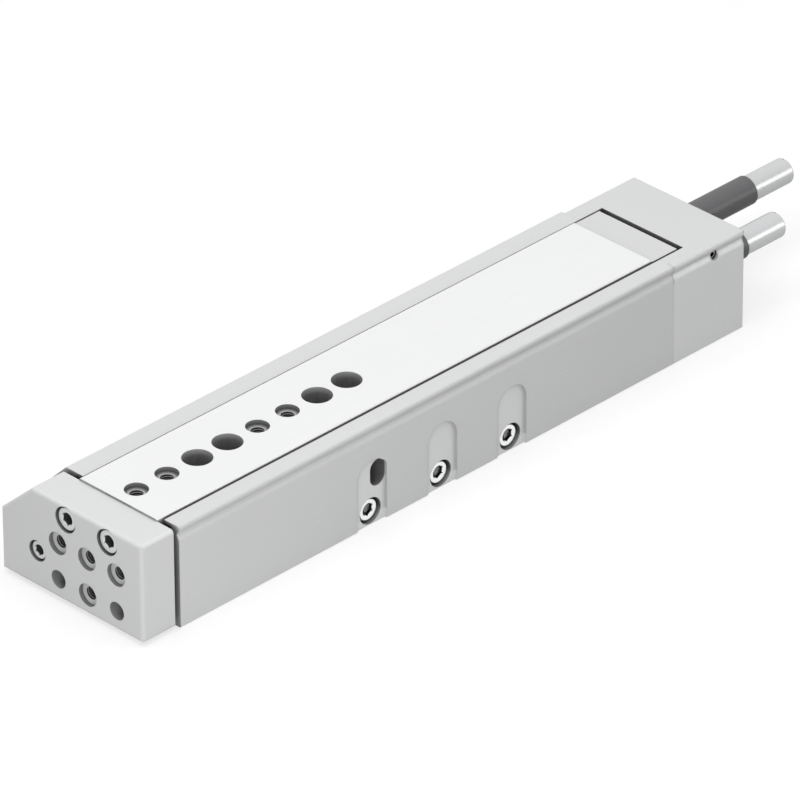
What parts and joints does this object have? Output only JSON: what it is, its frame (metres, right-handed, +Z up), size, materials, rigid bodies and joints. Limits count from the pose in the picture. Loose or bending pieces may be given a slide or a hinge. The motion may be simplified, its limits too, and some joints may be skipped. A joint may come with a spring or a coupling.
{
  "type": "pneumatic slide table",
  "caption": "Flat cylinder-driven slide with a ball-cage guide, a front yoke plate, a drilled sliding table and adjustable shock absorbers at its rear.",
  "frame": {"origin": "centre of the housing's underside", "axes": "+X the way the slide advances, +Y towards the side with the pockets, +Z up"},
  "size_m": [0.4987, 0.097, 0.057],
  "materials": {
    "housing_aluminium": "fine matt anodised, drawn along its length",
    "cap_aluminium": "fine matt anodised",
    "slide_aluminium": "matt anodised, almost white",
    "yoke_aluminium": "fine matt anodised",
    "rail_steel": "ground, hardened",
    "ball_steel": "polished bearing balls",
    "cage_brass": "punched strip",
    "bush_brass": "turned",
    "seal_rubber": "moulded",
    "buffer_rubber": "moulded polyurethane",
    "spring_steel": "phosphated",
    "screw_steel": "zinc plated",
    "sealing_ring_aluminium": "plain",
    "block_steel": "ground",
    "pin_steel": "ground",
    "rod_steel": "hard chromed",
    "piston_aluminium": "turned",
    "magnet": "bonded magnet",
    "sleeve_steel": "blackened",
    "absorber_steel": "nickel plated tube"
  },
  "bodies": {
    "housing": {"housing": "housing_aluminium", "rear_cap": "cap_aluminium", "cap_screws": "screw_steel", "left_guide_rail": "rail_steel", "right_guide_rail": "rail_steel", "rod_bush": "bush_brass", "bush_o_ring": "seal_rubber", "rod_seal": "seal_rubber", "bush_retaining_ring": "spring_steel", "side_plugs": "screw_steel", "plug_sealing_rings": "sealing_ring_aluminium", "set_screw": "screw_steel", "stop_block": "block_steel", "stop_block_screws": "screw_steel"},
    "slide": {"slide": "slide_aluminium", "yoke_plate": "yoke_aluminium", "yoke_screws": "screw_steel", "yoke_dowels": "pin_steel", "rod_screw": "screw_steel", "piston_rod": "rod_steel", "piston": "piston_aluminium", "piston_seals": "seal_rubber", "piston_magnet": "magnet", "piston_nut": "screw_steel"},
    "left_cage": {"left_ball_cage": "cage_brass", "left_balls": "ball_steel"},
    "right_cage": {"right_ball_cage": "cage_brass", "right_balls": "ball_steel"},
    "retract_stop": {"retract_sleeve": "sleeve_steel", "retract_absorber": "absorber_steel"},
    "retract_plunger": {"retract_plunger": "rod_steel", "retract_buffer": "buffer_rubber"},
    "advance_stop": {"advance_sleeve": "sleeve_steel", "advance_absorber": "absorber_steel"},
    "advance_plunger": {"advance_plunger": "rod_steel", "advance_buffer": "buffer_rubber"}
  },
  "joints": [
    {"name": "slide_travel", "type": "slide", "parent": "housing", "child": "slide", "axis": [1, 0, 0], "range_m": [0, 0.2]},
    {"name": "left_cage_travel", "type": "slide", "parent": "housing", "child": "left_cage", "axis": [1, 0, 0], "range_m": [0, 0.1]},
    {"name": "right_cage_travel", "type": "slide", "parent": "housing", "child": "right_cage", "axis": [1, 0, 0], "range_m": [0, 0.1]},
    {"name": "retract_stop_adjust", "type": "slide", "parent": "housing", "child": "retract_stop", "axis": [-1, 0, 0], "range_m": [0, 0.01]},
    {"name": "retract_plunger_press", "type": "slide", "parent": "retract_stop", "child": "retract_plunger", "axis": [-1, 0, 0], "range_m": [0, 0.01], "stiffness_N_per_m": 300},
    {"name": "advance_stop_adjust", "type": "slide", "parent": "slide", "child": "advance_stop", "axis": [-1, 0, 0], "range_m": [0, 0.01]},
    {"name": "advance_plunger_press", "type": "slide", "parent": "advance_stop", "child": "advance_plunger", "axis": [-1, 0, 0], "range_m": [0, 0.01], "stiffness_N_per_m": 300}
  ],
  "couplings": [
    {"joint": "left_cage_travel", "follows": "slide_travel", "ratio": 0.5},
    {"joint": "right_cage_travel", "follows": "slide_travel", "ratio": 0.5}
  ]
}
